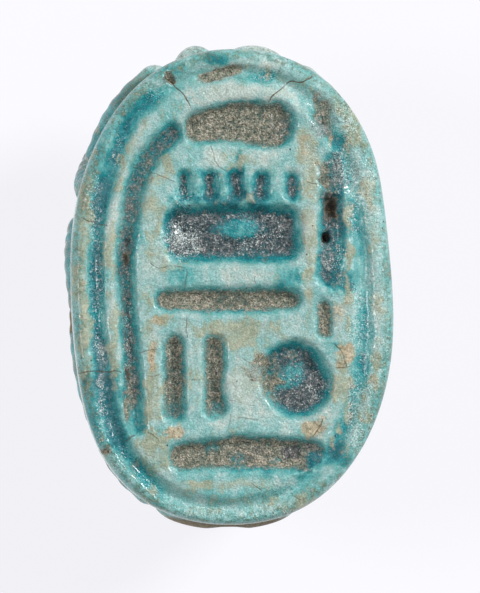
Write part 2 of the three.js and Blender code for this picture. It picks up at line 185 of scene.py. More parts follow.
# Patches of each finish on the base face, and of the painted glints and highlights: x and y of the middle,
# half sizes along x and y, strength.
PATCHES = {
    "worn": (  # thin glaze over a cream skin
        (4.2, 5.3, 0.4, 0.8, 0.7), (-1, -7.62, 0.5, 0.2, 0.6), (2.2, -7.2, 0.4, 0.2, 0.8),
        (3.7, 6.3, 0.4, 0.4, 0.6), (-3.3, -6.1, 0.3, 0.6, 0.6), (-2.9, -0.6, 0.22, 0.5, 0.7),
        (-2.65, -3.7, 0.34, 1.3, 1), (-2.75, -1.7, 0.22, 0.6, 0.8), (-2.4, -1.15, 0.3, 0.25, 0.9),
        (2.6, 2.2, 0.2, 1.2, 0.6), (2.5, 4.6, 0.35, 0.5, 0.7), (2.6, 0.3, 0.25, 0.6, 0.5),
        (-2.35, 1, 0.2, 0.5, 0.7), (1.2, 4.3, 0.5, 0.25, 0.4), (2.4, 3.6, 0.25, 0.8, 0.5),
        (3.92, 2.3, 0.14, 0.4, 1), (3.95, 1.1, 0.14, 0.5, 1), (4.65, 0.2, 0.16, 0.4, 0.8),
        (4.95, -1.9, 0.16, 0.3, 0.8), (-4.06, 0.4, 0.24, 4.2, 0.8), (-5.03, 0.6, 0.3, 3.9, 1),
        (-2.68, 2.5, 0.3, 1.1, 0.7), (-2.78, 0.9, 0.4, 0.5, 0.6), (-2.35, 4.1, 0.45, 0.5, 0.8),
        (-3.05, 5.5, 0.2, 0.35, 0.8), (-3.5, 4.95, 0.2, 0.4, 0.9), (-3.82, 4.1, 0.16, 0.4, 0.9),
        (0.22, 4.35, 0.9, 0.3, 0.5), (2.6, 1.8, 0.24, 3, 0.9), (2.52, 4.6, 0.35, 0.9, 0.7),
        (0.22, -1.55, 2, 0.42, 0.9), (0.52, -3.3, 0.5, 1.3, 0.6), (-1.18, -3, 0.3, 1.2, 0.4),
        (-2.68, -5.7, 0.6, 0.9, 0.9), (-0.08, -6.75, 1.7, 0.24, 0.6), (1.52, -7.4, 1.4, 0.25, 0.6),
        (-2.28, -7, 0.9, 0.3, 0.6), (4, -0.4, 0.14, 0.6, 0.9), (3.77, -3.3, 0.3, 1.7, 0.8),
        (4.95, -0.6, 0.22, 0.6, 0.8), (4.85, -2.6, 0.24, 0.7, 0.9), (4.55, -4.2, 0.24, 0.6, 0.8),
        (4.8, 1.4, 0.2, 0.5, 0.7), (4.7, 3.1, 0.24, 0.6, 0.9), (3.82, 5.6, 0.3, 0.6, 0.5),
        (0.42, 6.66, 1.5, 0.2, 0.5),
    ),
    "tan": (  # worn down to the tan body
        (-1.97, -4.93, 0.34, 0.28, 1), (-2.72, -2.41, 0.16, 0.45, 0.9),
        (-2.5, -1.15, 0.16, 0.18, 0.7), (2.86, -4.79, 0.4, 0.38, 0.8), (3.67, -0.95, 0.3, 0.45, 0.6),
        (3.8, -2.3, 0.36, 0.4, 0.9), (3.42, -5.3, 0.14, 0.3, 0.7), (3.27, 4.95, 0.14, 0.35, 0.7),
        (2.52, 4.9, 0.14, 0.4, 0.5), (-4.98, 0.1, 0.1, 0.25, 0.7), (4.97, 2.4, 0.12, 0.5, 0.4),
        (4.87, -3.2, 0.14, 0.5, 0.5), (1.22, 7.5, 0.14, 0.3, 0.5),
    ),
    "thick": (  # glaze that ran together, deep in colour
        (0.33, 4.2, 0.1, 0.5, 0.45), (0.2, 2.95, 1.9, 0.3, 0.5), (0.2, 3.5, 1.9, 0.5, 0.2),
        (3.8, 0.2, 0.45, 0.4, 0.5), (-5.05, 3, 0.16, 0.5, 0.5), (-5.2, 0.7, 0.14, 0.4, 0.5),
        (-5.2, -1.3, 0.14, 0.5, 0.4), (-5, -3.2, 0.14, 0.3, 0.5), (-4.5, 0.8, 0.24, 5, 0.25),
        (-4.08, -3.9, 0.26, 1.2, 0.4), (-3.9, -5, 0.3, 0.7, 0.25), (-3, -6.2, 0.5, 0.3, 0.2),
        (-4.2, 4.4, 0.3, 1.8, 0.2), (0.4, -6.45, 2.4, 0.22, 0.2), (-4.78, -4.4, 0.5, 1.4, 0.28),
        (-0.53, 7.72, 0.55, 0.2, 0.5), (0.82, 7.1, 0.6, 0.25, 0.3), (-2.18, 7.4, 0.5, 0.3, 0.2),
        (-1.78, 0.35, 0.6, 0.3, 0.25), (2.02, 0.3, 0.45, 0.35, 0.35), (3.77, 2.5, 0.25, 1.3, 0.4),
        (3.62, 4.95, 0.5, 0.3, 0.3), (-2.08, 2.3, 0.35, 0.8, 0.15), (-3.7, 5.4, 0.3, 0.5, 0.15),
        (2.62, -5.9, 0.5, 0.3, 0.4), (3.47, -5.75, 0.5, 0.4, 0.3), (0.42, -7.05, 1.8, 0.2, 0.12),
        (1.82, 5.2, 0.25, 0.6, 0.3), (3.32, -2, 0.4, 0.3, 0.2),
    ),
    # Painted glints: white specks that stand for light sparkling off the grains, and at the broad bar's
    # left end a painted highlight.
    "frost": (  # scattered white sparkles
        (-4.75, 2.6, 0.16, 2.3, 0.8), (-4.55, -0.3, 0.14, 2.2, 0.6), (-4.4, -4.2, 0.16, 1.3, 0.8),
        (-3.9, -5.9, 0.3, 0.5, 0.6), (-3.9, 4.9, 0.2, 1.2, 0.35), (-2.7, 6.6, 0.5, 0.3, 0.4),
        (-3.55, -1.6, 0.14, 1.6, 0.6), (-1.7, 1.7, 0.6, 0.6, 1.3), (0.8, 1.5, 1, 0.4, 0.5),
        (-1.7, 3, 0.3, 0.4, 0.5), (3.95, 4.2, 0.4, 0.7, 0.7), (4.1, 2.6, 0.2, 1, 0.7),
        (3.6, 0.9, 0.3, 0.8, 0.5), (4.3, -1.2, 0.24, 1.4, 0.8), (4.2, -4.2, 0.26, 1.3, 0.8),
        (4.95, -0.5, 0.3, 2.2, 0.5), (4.6, -4, 0.3, 1.2, 0.5), (4.65, 3.2, 0.3, 1.4, 0.6),
        (3.8, 5.6, 0.5, 0.6, 0.6), (2, -6.9, 1.4, 0.3, 0.4), (2.95, -3.3, 0.4, 0.5, 0.35),
        (1, 7.2, 0.6, 0.2, 0.5), (-1.97, -3.4, 0.2, 0.8, 0.4), (-0.6, -3.4, 0.2, 0.8, 0.4),
        (0.5, -7.7, 2.5, 0.25, 0.5), (-2.02, 1.65, 0.3, 0.35, 2), (2.1, -3, 0.4, 0.4, 0.4),
    ),
    "pale": (  # thin milky glaze
        (0.4, 6.55, 1.9, 0.28, 0.8), (-3.3, 5.3, 0.3, 0.5, 0.5), (-4.1, 3, 0.2, 1.6, 0.6),
        (1.2, 4.6, 0.8, 0.35, 0.6), (-0.8, 4.4, 0.6, 0.3, 0.5), (2.6, 2.9, 0.3, 0.5, 0.4),
        (0.2, 0.4, 1.6, 0.25, 0.2), (0.4, -3.7, 0.5, 0.9, 0.3), (0.8, -4.4, 1.2, 0.26, 0.4),
        (1.9, -6.6, 0.5, 0.18, 0.9), (-0.6, -6.5, 1, 0.18, 0.4), (0.2, 7.7, 1.4, 0.22, 0.6),
        (-2.6, 7.1, 0.8, 0.3, 0.4), (4.95, -0.6, 0.22, 2.5, 0.4), (2.6, 1.8, 0.2, 2.5, 0.4),
        (0.6, -4.6, 1.6, 0.2, 0.3),
    ),
    "sandy": (  # where brown grains lie over the black ones
        (1.4, -3.1, 0.34, 0.7, 0.65), (1, -2.7, 0.36, 0.4, 0.9), (0.72, -3, 0.25, 0.3, 0.7),
        (1.95, -2.4, 0.3, 0.2, 0.6), (-2.9, 4.3, 0.35, 0.6, 0.45), (-3.45, -3.6, 0.2, 0.8, 0.6),
        (0.9, 1.15, 0.5, 0.3, 0.4),
    ),
    "pit": (  # dark brown hollows
        (3.36, 2.68, 0.2, 0.44, 1.3), (3.18, 1.7, 0.12, 0.16, 1.5), (-2.2, 7.15, 0.08, 0.2, 0.7),
        (-3.6, 1.5, 0.08, 0.16, 1.2), (-3.63, 0.95, 0.08, 0.26, 0.9), (-3.5, -3.1, 0.1, 0.3, 0.5),
        (-4.3, -5.6, 0.16, 0.08, 0.7), (-5, -6, 0.25, 0.08, 0.8), (0.3, 7.2, 0.3, 0.1, 0.4),
        (3.42, 5.15, 0.2, 0.16, 0.4),
    ),
    "dull": (  # where the glaze has lost its shine
        (3.7, 5.4, 1.1, 1.5, 1), (4.6, -4, 0.5, 2, 0.6), (-5.1, 2, 0.4, 3, 0.5),
        (-3.5, -5.6, 1, 0.7, 0.8), (0.2, 2.85, 2.2, 0.35, 1),
    ),
    # A pale grey crust; three of its patches are painted highlights: the first, by the disc, and the third
    # and fourth, at the broad bar's left end.
    "crust": (  # a pale grey crust with dark grains
        (3.2, -3.28, 0.14, 0.22, 0.8), (-1.5, 2.6, 0.3, 0.5, 0.3), (-2, 1.65, 0.32, 0.34, 1),
        (-1.5, 1.5, 0.5, 0.4, 0.45), (3.55, 4.1, 0.42, 0.5, 0.6), (3.95, 3.8, 0.4, 0.55, 0.45),
        (3.22, 1.15, 0.24, 0.7, 0.7), (2.97, 5.45, 0.28, 0.36, 0.8), (4.05, -4.3, 0.18, 1.1, 0.4),
        (4.45, -1, 0.16, 2.2, 0.5), (0.67, -2.95, 0.35, 0.3, 0.4), (2.82, -5.45, 0.35, 0.3, 0.4),
        (-4.52, 1.3, 0.15, 2, 0.45), (-4.4, -3, 0.15, 1.4, 0.45),
    ),
}

# Thin cracks in the glaze: how strongly each shows, and its (x, y) stations.
CRACKS = (
    (0.7, ((3.5, -1.95), (3.75, -2.3), (3.85, -2.75))),
    (0.6, ((3.5, -2.75), (3.8, -2.78), (4.05, -2.74))),
    (0.8, ((3.1, -4.45), (2.95, -4.8), (2.7, -5.1))),
    (0.5, ((2.75, -4.6), (2.95, -4.8), (3.2, -4.85))),
    (1, ((-2.33, 7.15), (-1.83, 6.7), (-1.48, 6.1))),
    (1, ((1.17, 6.2), (1.52, 6.65), (1.92, 6.95), (2.42, 6.95), (2.72, 7.15))),
    (0.8, ((-5.08, 2.3), (-4.88, 2.2), (-4.33, 2.1), (-4.13, 2.1))),
    (0.4, ((-3.93, 3.85), (-3.68, 3.8))),
    (0.8, ((-5.28, -2.95), (-4.48, -2.9), (-3.83, -2.9))),
    (0.6, ((-3.2, -2.25), (-2.93, -2.2), (-2.58, -2.15))),
    (0.5, ((-2.98, -3.05), (-2.48, -3.05))),
    (0.4, ((-1.43, -3.2), (-0.98, -3.2))),
    (0.7, ((-3.68, -5.25), (-3.33, -5.05))),
    (0.6, ((-2.93, -5), (-2.63, -5.15))),
    (0.6, ((-2.83, 0.8), (-2.53, 0.6), (-2.03, 0.7), (-1.63, 0.6), (-1.68, -0.05))),
    (0.6, ((-2.83, 3.9), (-2.43, 3.75), (-1.98, 3.5))),
    (0.5, ((-0.73, 4.8), (-0.63, 4.25), (-0.28, 3.9))),
    (0.7, ((-1.53, -1), (-1.58, -1.75))),
    (0.5, ((0.32, -2.45), (0.67, -2.6))),
    (0.45, ((-0.13, -3.9), (0.32, -3.95), (0.77, -4.05))),
    (0.7, ((0.62, -6.65), (1.02, -6.95))),
    (0.5, ((2.02, -7.05), (2.32, -7.25))),
    (0.5, ((-0.08, -4.35), (-0.13, -4.9))),
    (0.45, ((0.17, -4.5), (0.92, -4.5))),
    (0.5, ((0.77, 0.4), (0.77, 0.05))),
    (0.6, ((2.55, 3.55), (3, 3.5))),
    (0.5, ((1.6, 7.55), (1.55, 7.2))),
    (0.4, ((-0.2, 6.75), (-0.22, 6.5))),
)

# -------- the grid of the body's mesh
CORE_COLUMNS = 146  # cells of the base face's inner grid, across and along
CORE_ROWS = 214
CORE_SHARE = (0.70, 0.79)  # how much of the base face that grid spans, across and along
RING_ROWS = 22
ROUND_ROWS = 7
FLANK_ROWS = 34
BACK_ROWS = 52
MARCH_STEPS = 34
MARCH_SHARE = 0.85  # how much of the distance still to go each step of a ray covers


# ======== helpers on arrays
def smooth(low, high, value):
    """Rises from 0 at low to 1 at high with level ends: 3t^2 - 2t^3 of the clamped share t."""
    t = np.clip((value - low) / (high - low), 0, 1)
    return t * t * (3 - 2 * t)


def soft_least(a, b, reach):
    """The lesser of two distances, rounded where they differ by less than reach."""
    h = np.maximum(reach - np.abs(a - b), 0) / reach
    return np.minimum(a, b) - h * h * reach / 4


def swelling(x, y, most, middle, reach):
    """A round bump of height most: most times e to the power of minus the squared distance from
    its middle, counted in reaches."""
    return most * np.exp(-((x - middle[0]) / reach[0]) ** 2 - ((y - middle[1]) / reach[1]) ** 2)


def noise(x, y, z, cell, seed):
    """Smooth noise from -1 to 1: random values on a cubic lattice, eased between its corners."""
    size = 24
    table = np.random.default_rng(seed).uniform(-1, 1, (size, size, size))
    steps = [np.floor(np.asarray(c, float) / cell) for c in (x, y, z)]
    parts = [smooth(0, 1, np.asarray(c, float) / cell - s) for c, s in zip((x, y, z), steps)]
    i, j, k = (s.astype(int) for s in steps)
    total = 0
    for corner in range(8):
        a, b, c = corner & 1, corner >> 1 & 1, corner >> 2 & 1
        share = 1
        for bit, part in zip((a, b, c), parts):
            share = share * (part if bit else 1 - part)
        total = total + share * table[(i + a) % size, (j + b) % size, (k + c) % size]
    return total


def curve_through(stations, steps):
    """Points on a smooth curve through the stations: a Catmull-Rom spline, steps to a span."""
    p = np.array(stations, float)
    if len(p) == 2:
        return p[0] + np.linspace(0, 1, steps + 1)[:, None] * (p[1] - p[0])
    p = np.vstack([2 * p[0] - p[1], p, 2 * p[-1] - p[-2]])
    t = np.linspace(0, 1, steps, endpoint=False)[:, None]
    spans = []
    for a, b, c, d in zip(p, p[1:], p[2:], p[3:]):
        spans.append(0.5 * (2 * b + (c - a) * t + (2 * a - 5 * b + 4 * c - d) * t**2
                            + (3 * b - a - 3 * c + d) * t**3))
    return np.vstack(spans + [p[-2:-1]])


def along_path(points, path):
    """For each point: distance to a bent line, its side, and the share of the way along it."""
    best = np.full(len(points), np.inf)
    side = np.zeros(len(points))
    share = np.zeros(len(points))
    for k, (a, b) in enumerate(zip(path, path[1:])):
        way = b - a
        t = np.clip((points - a) @ way / (way @ way), 0, 1)
        off = points - a - t[:, None] * way
        distance = np.linalg.norm(off, axis=1)
        near = distance < best
        best = np.where(near, distance, best)
        share = np.where(near, (k + t) / (len(path) - 1), share)
        if len(way) == 2:
            side = np.where(near, np.sign(way[0] * off[:, 1] - way[1] * off[:, 0]), side)
    return best, side, share


# ======== the body's form
def uneven(x, y):
    """The hand-cut outline: x scaled by 1 + taper v + bulge v^2, moved by lean and sway, and drawn
    out a little more on the right near the head."""
    v = y / HALF_LENGTH
    shift = LEAN * v - SWAY * np.sin(2 * np.pi * SWAY_WAVES * v)
    fuller = np.exp(-(((y - FULLNESS[1]) / FULLNESS[2]) ** 2)) * np.maximum(x, 0) / HALF_WIDTH
    return x * (1 + TAPER * v + BULGE * v * v) + shift + FULLNESS[0] * fuller


def oval_gap(x, y, half_width, half_length, power=OVAL_POWER):
    """Distance outside a superellipse: its radius function less one, over that function's slope."""
    across = np.abs(x / half_width) + 1e-9
    along = np.abs(y / half_length) + 1e-9
    radius = (across**power + along**power) ** (1 / power)
    slope = radius ** (1 - power) * np.hypot(
        across ** (power - 1) / half_width, along ** (power - 1) / half_length)
    return (radius - 1) / slope


def rounded(gap_sideways, gap_upright, radius):
    """An upright wall and a level face met in a rounded edge, from the distance to each."""
    a = gap_sideways + radius
    b = gap_upright + radius
    return np.minimum(np.maximum(a, b), 0) + np.hypot(np.maximum(a, 0), np.maximum(b, 0)) - radius


def ellipsoid_gap(x, y, z, form):
    """Distance outside an ellipsoid: its radius function less one, over that function's slope."""
    (a, b, c), (mx, my, mz) = form
    x, y, z = x - mx, y - my, z - mz
    radius = np.sqrt((x / a) ** 2 + (y / b) ** 2 + (z / c) ** 2) + 1e-9
    slope = np.sqrt((x / a**2) ** 2 + (y / b**2) ** 2 + (z / c**2) ** 2) + 1e-9
    return radius * (radius - 1) / slope


def plate_gap(x, y, z):
    """The plate that carries the base face: the oval, rounded at both edges."""
    middle = HEIGHT - PLATE_THICKNESS / 2
    return rounded(oval_gap(x, y, HALF_WIDTH, HALF_LENGTH), np.abs(z - middle) - PLATE_THICKNESS / 2, 0.2)


def flank_gap(x, y, z):
    """The wall behind the legs, drawn in towards its lower edge."""
    drawn_in = np.clip(BACK_MARGIN - 0.4 + FLANK_SLOPE - z, 0, FLANK_SLOPE)
    sideways = oval_gap(x, y, HALF_WIDTH - FLANK_INSET, HALF_LENGTH - FLANK_INSET) + drawn_in
    return rounded(sideways, np.abs(z - 4.9) - 1.7, 0.2)


def back_lines(x, y):
    """How deep the lines on the back are cut at a place: one across, one along, two nicks."""
    across = y - THORAX_END - THORAX_LINE_BOW * (x / THORAX_LINE_REACH) ** 2
    along = np.where(across < 0, x, 9.0)
    shoulder = np.hypot(np.abs(x) - 3.1 + 0.8 * (y - 0.7), np.maximum(np.abs(y - 0.7) - 0.35, 0))
    cut = 0.15 * np.exp(-((across / 0.13) ** 2))
    cut = np.maximum(cut, 0.15 * np.exp(-((along / 0.12) ** 2)))
    return np.maximum(cut, 0.12 * np.exp(-((shoulder / 0.13) ** 2)))


def back_gap(x, y, z):
    """The dome of thorax and wing cases: a superellipse in plan, another one down to the crown."""
    power = np.where(y > BACK_MIDDLE, BACK_HEAD_POWER, OVAL_POWER)
    across = np.abs(x / BACK_HALF_WIDTH) + 1e-9
    along = np.abs((y - BACK_MIDDLE) / BACK_HALF_LENGTH) + 1e-9
    plan = (across**power + along**power) ** (1 / power)
    to_head = np.clip((y - FALL_START) / (BACK_HALF_LENGTH + BACK_MIDDLE - FALL_START), 0, 1)
    depth = np.maximum(BACK_MARGIN - z, 0) / (1 - HEAD_FALL * to_head**2)
    depth = depth / (BACK_MARGIN + BACK_CROWN_WEAR)
    dome = ((plan**BACK_POWER + depth**BACK_POWER) ** (1 / BACK_POWER) - 1) * 4.2
    margin_line = 0.1 * np.exp(-(((plan - 0.93) * BACK_HALF_WIDTH / 0.1) ** 2)) * (z > 1.6)
    dome = dome + back_lines(x, y) + margin_line
    return np.maximum(np.maximum(dome, z - BACK_MARGIN - BACK_EDGE), -z)


def leg_gap(x, y, z, stations, breadth, proud):
    """A leg on one side: a round bar along its curve, which runs just inside the outline, with
    shallow notches along it."""
    route = curve_through(stations, 3)
    power = OVAL_POWER
    wide = HALF_WIDTH * (1 - np.abs(route[:, 0] / HALF_LENGTH) ** power) ** (1 / power)
    path = np.column_stack([wide + proud - LEG_HALF_THICKNESS, route])
    distance, _, share = along_path(np.column_stack([x, y, z]), path)
    notches = 0.014 * np.cos(2 * np.pi * 5 * share)
    return distance - breadth * (0.88 + 0.12 * np.sin(np.pi * share)) - notches


def body_gap(x, y, z):
    """Distance outside the whole body: the least of its forms, each eased into the next."""
    gap = soft_least(plate_gap(x, y, z), flank_gap(x, y, z), 0.15)
    gap = soft_least(gap, back_gap(x, y, z), 0.12)
    head = ellipsoid_gap(x, y, z, HEAD)
    cheek = 0.1 * np.exp(-(((y - 6.35 + 0.06 * x * x) / 0.12) ** 2)) * (z < 4.6)
    gap = soft_least(gap, head + cheek, 0.12)
    folded = np.abs(x)
    gap = soft_least(gap, ellipsoid_gap(folded, y, z, EYE), 0.12)
    for lobe in LOBES:
        gap = soft_least(gap, ellipsoid_gap(x, y, z, lobe), 0.15)
    gap = soft_least(gap, ellipsoid_gap(x, y, z, TAIL), 0.2)
    leaning = np.abs(x + LEGS_LEAN)
    for stations, breadth, proud in LEGS:
        gap = soft_least(gap, leg_gap(leaning, y, z, stations, breadth, proud), 0.12)
    return gap


def surface_along(starts, ways, reach):
    """Where rays meet the body's surface: each comes in from reach towards its start, by steps of
    most of the distance still to go."""
    far = np.array(reach, float)
    for _ in range(MARCH_STEPS):
        point = starts + far[:, None] * ways
        far = np.clip(far - MARCH_SHARE * body_gap(*point.T), 0.05, None)
    return starts + far[:, None] * ways


# ======== the base face's relief
def stroke_list():
    """Every stroke: the long ones, then the row of short upright ones."""
    teeth = tuple((((x, TEETH_YS[0]), (x, TEETH_YS[1])), (TEETH_WIDTH, TEETH_WIDTH * 0.9),
                   TEETH_DEPTH, 0.1, 0.75) for x in TEETH_XS)
    return STROKES + teeth


def carving(x, y, even_x):
    """The base face's relief at each point: depth, and how much of each finish lies there.

    A stroke falls from just outside its edge to its floor over an eased step, and where two cuts
    meet the deeper one counts. The edges wander by a little smooth noise. The border's line is
    shallower at the upper right and towards the right; the glaze has pooled in it on the left and
    low on the right, and least at the two ends."""
    wander_x = 0.055 * noise(x, y, 0, 1.1, 11) + 0.025 * noise(x, y, 3, 0.3, 12)
    wander_y = 0.055 * noise(x, y, 7, 1.1, 13) + 0.025 * noise(x, y, 9, 0.3, 14)
    points = np.column_stack([x + wander_x, y + wander_y])
    depth = np.zeros(len(x))
    share_cut = np.zeros(len(x))
    brown = np.zeros(len(x))
    black = np.zeros(len(x))
    for stations, widths, deep, brown_part, black_part in stroke_list():
        route = curve_through(stations, 6)
        distance, _, share = along_path(points, route)
        half = np.interp(share, np.linspace(0, 1, len(widths)), widths) / 2
        fall = smooth(SHOULDER, -WALL, distance - half)
        depth = np.maximum(depth, deep * fall)
        share_cut = np.maximum(share_cut, fall)
        distance, _, share = along_path(points + SETTLED, route)
        half = np.interp(share, np.linspace(0, 1, len(widths)), widths) / 2
        brown_fall = smooth(0.18, -np.minimum(0.16, 0.6 * half), distance - half)
        black_fall = smooth(0.08, -np.minimum(0.42, 0.8 * half), distance - half)
        brown = np.maximum(brown, brown_part * brown_fall)
        black = np.maximum(black, black_part * black_fall)
    ring_x = even_x + wander_x - BORDER_MIDDLE[0]
    ring_y = y + wander_y - BORDER_MIDDLE[1]
    fuller = swelling(x, y, *BORDER_FULLER)
    ring = np.abs(oval_gap(ring_x, ring_y, BORDER_HALF_WIDTH, BORDER_HALF_LENGTH) - fuller)
    border = smooth(BORDER_LINE_WIDTH / 2 + 0.14, 0.0, ring)
    border = border * (1 - swelling(x, y, *BORDER_WORN))
    border = border * (0.88 - 0.12 * smooth(-4.5, 4.5, x))
    depth = np.maximum(depth, BORDER_DEPTH * border)
    for middle_x, middle_y, half_x, half_y, turn, deep, brown_part, black_part in MARKS:
        c, s = math.cos(math.radians(turn)), math.sin(math.radians(turn))
        dx, dy = points[:, 0] - middle_x, points[:, 1] - middle_y
        radius = np.hypot((dx * c + dy * s) / half_x, (dy * c - dx * s) / half_y)
        fall = smooth(1.35, 0.55, radius + 0.35 * noise(x, y, 5, 0.2, 15))
        depth = depth + deep * fall
        brown = np.maximum(brown, brown_part * fall)
        black = np.maximum(black, black_part * fall)
    for middle_x, middle_y, half_x, half_y, rise, gone in SHOALS:
        radius = np.hypot((points[:, 0] - middle_x) / half_x, (points[:, 1] - middle_y) / half_y)
        here = smooth(1.3, 0.4, radius)
        depth = depth * (1 - rise / 0.45 * here)
        brown = brown * (1 - gone * here)
        black = black * (1 - gone * here)
        share_cut = share_cut * (1 - 0.65 * gone * here)
    low_right = smooth(2.5, 3.8, x) * smooth(0.5, -1.0, y)
    left = smooth(-1.4, -3.4, x)
    at_end = smooth(5.6, 7.0, np.abs(y)) * smooth(-3.2, -1.6, x)
    pooled = border * (0.55 + 0.45 * left + 0.25 * low_right - at_end * (0.38 + 0.12 * smooth(0, 1, y)))
    return depth, share_cut, pooled, brown, black


def patches(x, y, finish):
    """How strongly a finish lies at each point: the most of its ragged oval patches, made
    blotchy by smooth noise."""
    strength = np.zeros(len(x))
    ragged = 0.4 * noise(x, y, 2, 0.3, 17) + 0.35 * noise(x, y, 4, 0.12, 18)
    warped_x = x + 0.14 * noise(x, y, 8, 0.4, 20)
    warped_y = y + 0.14 * noise(x, y, 9, 0.4, 21)
    for middle_x, middle_y, half_x, half_y, most in PATCHES[finish]:
        radius = np.hypot((warped_x - middle_x) / half_x, (warped_y - middle_y) / half_y) + ragged
        strength = np.maximum(strength, most * smooth(1.5, 0.5, radius))
    return strength * (1 + 0.5 * noise(x, y, 6, 0.4, 19))


def crack_lines(x, y):
    """Signed distance to the nearest crack, which crosses zero evenly on it, and how strongly the
    crack alongside shows."""
    points = np.column_stack([x + 0.05 * noise(x, y, 1, 0.25, 21), y + 0.05 * noise(x, y, 2, 0.25, 22)])
    nearest = np.full(len(x), 1.0)
    beside = np.zeros(len(x))
    for strength, stations in CRACKS:
        distance, side, share = along_path(points, curve_through(stations, 3))
        closer = distance < np.abs(nearest)
        nearest = np.where(closer, distance * side, nearest)
        inside = (share > 0.001) & (share < 0.999)
        beside = np.where(closer, inside * strength, beside)
    return nearest, beside


# ======== the body's mesh
def disc_to_oval(p, q):
    """Unit disc to the base oval, before its unevenness: the radius kept, and the cosine and sine
    of the angle each raised to 2 over the oval's power, sign kept."""
    radius = np.hypot(p, q) + 1e-12
    across, along = (np.sign(part) * np.abs(part) ** (2 / OVAL_POWER) for part in (p / radius, q / radius))
    return HALF_WIDTH * radius * across, HALF_LENGTH * radius * along


def core_grid():
    """The inner grid of the base face: a square drawn into a soft-cornered patch of the disc, by
    x = u sqrt(1 - k v^2), y = v sqrt(1 - k u^2)."""
    u, v = np.meshgrid(np.linspace(-1, 1, CORE_COLUMNS + 1), np.linspace(-1, 1, CORE_ROWS + 1))
    ease = 0.32
    p = CORE_SHARE[0] * u * np.sqrt(1 - ease * v * v)
    q = CORE_SHARE[1] * v * np.sqrt(1 - ease * u * u)
    return p, q


def core_edge():
    """Indices of the inner grid's edge vertices, once round anticlockwise."""
    index = np.arange((CORE_COLUMNS + 1) * (CORE_ROWS + 1)).reshape(CORE_ROWS + 1, CORE_COLUMNS + 1)
    return np.concatenate([index[0, :-1], index[:-1, -1], index[-1, :0:-1], index[:0:-1, 0]])


def ring_rows(p, q, edge):
    """Rows from the inner grid out to the rim: first level, then round the rim's edge by angle."""
    p_edge, q_edge = p.ravel()[edge], q.ravel()[edge]
    x_edge, y_edge = disc_to_oval(p_edge, q_edge)
    angle = np.arctan2(q_edge, p_edge)
    x_rim, y_rim = disc_to_oval(np.cos(angle), np.sin(angle))
    length = np.hypot(x_rim, y_rim)
    rows = []
    for t in np.linspace(0, 1, RING_ROWS + 1)[1:]:
        inner = 1 - RIM_ROUND / length
        rows.append((x_edge + t * (x_rim * inner - x_edge), y_edge + t * (y_rim * inner - y_edge), 0))
    for turn in np.linspace(0, math.pi / 2, ROUND_ROWS + 1)[1:]:
        share = 1 - RIM_ROUND * (1 - math.sin(turn)) / length
        rows.append((x_rim * share, y_rim * share, RIM_FALL * (1 - math.cos(turn))))
    return rows, np.column_stack([x_rim, y_rim]) / length[:, None], length


def flank_rows(ways, length):
    """Level rays from the upright axis meet the flank at each height below the rim."""
    heights = np.linspace(HEIGHT - RIM_FALL, BACK_MARGIN, FLANK_ROWS + 1)[1:]
    rows = []
    for z in heights:
        starts = np.tile([0, 0, z], (len(ways), 1))
        rows.append(surface_along(starts, np.column_stack([ways, np.zeros(len(ways))]), length + 0.4))
    return rows


def back_rows(ways, length):
    """Rays from one point on the axis, turning from level to straight down, meet the back."""
    start = np.array([0, 0, BACK_MARGIN])
    rows = []
    for turn in np.linspace(0, math.pi / 2, BACK_ROWS + 1)[1:]:
        way = np.column_stack([ways * math.cos(turn), np.full(len(ways), -math.sin(turn))])
        reach = 1 / np.hypot(math.cos(turn) / (length + 0.4), math.sin(turn) / (BACK_MARGIN + 0.4))
        rows.append(surface_along(np.tile(start, (len(ways), 1)), way, reach))
    return rows


def grid_faces(index):
    """Quads between the rows of a grid of vertex indices."""
    return np.column_stack([index[:-1, :-1].ravel(), index[:-1, 1:].ravel(),
                            index[1:, 1:].ravel(), index[1:, :-1].ravel()])


def ring_faces(upper, lower):
    """Quads between two closed rows of vertex indices, facing outwards."""
    return np.column_stack([upper, lower, np.roll(lower, -1), np.roll(upper, -1)])


def halving_faces(upper, lower):
    """Triangles between a closed row and one with half as many vertices below it."""
    a, b, c = upper[0::2], upper[1::2], np.roll(upper, -2)[0::2]
    d, e = lower, np.roll(lower, -1)
    return np.vstack([np.column_stack(t) for t in ((a, d, b), (b, d, e), (b, e, c))])


def body_mesh():
    """The whole skin: the base face's grid, the ring round it, the flank and the back. Its faces
    and each vertex's place in even coordinates."""
    p, q = core_grid()
    edge = core_edge()
    x_core, y_core = disc_to_oval(p.ravel(), q.ravel())
    base = [np.column_stack([x_core, y_core, np.full(len(x_core), HEIGHT)])]
    ring, ways, length = ring_rows(p, q, edge)
    base += [np.column_stack([x, y, HEIGHT - drop * np.ones(len(x))]) for x, y, drop in ring]
    flank = flank_rows(ways, length)
    back = back_rows(ways[::2], length[::2])
    crown = back[-1].mean(axis=0, keepdims=True)
    back = back[:-1]
    places = np.vstack(base + flank + back + [crown])
    base_count = sum(map(len, base))

    quads = [grid_faces(np.arange(len(x_core)).reshape(p.shape))]
    triangles = []
    above, first = edge, len(x_core)
    for row in base[1:] + flank + back:
        here = np.arange(first, first + len(row))
        if len(here) == len(above):
            quads.append(ring_faces(above, here))
        else:
            triangles.append(halving_faces(above, here))
        above, first = here, first + len(row)
    triangles.append(np.column_stack([above, np.full(len(above), first), np.roll(above, -1)]))
    return places, np.vstack(quads), np.vstack(triangles), base_count


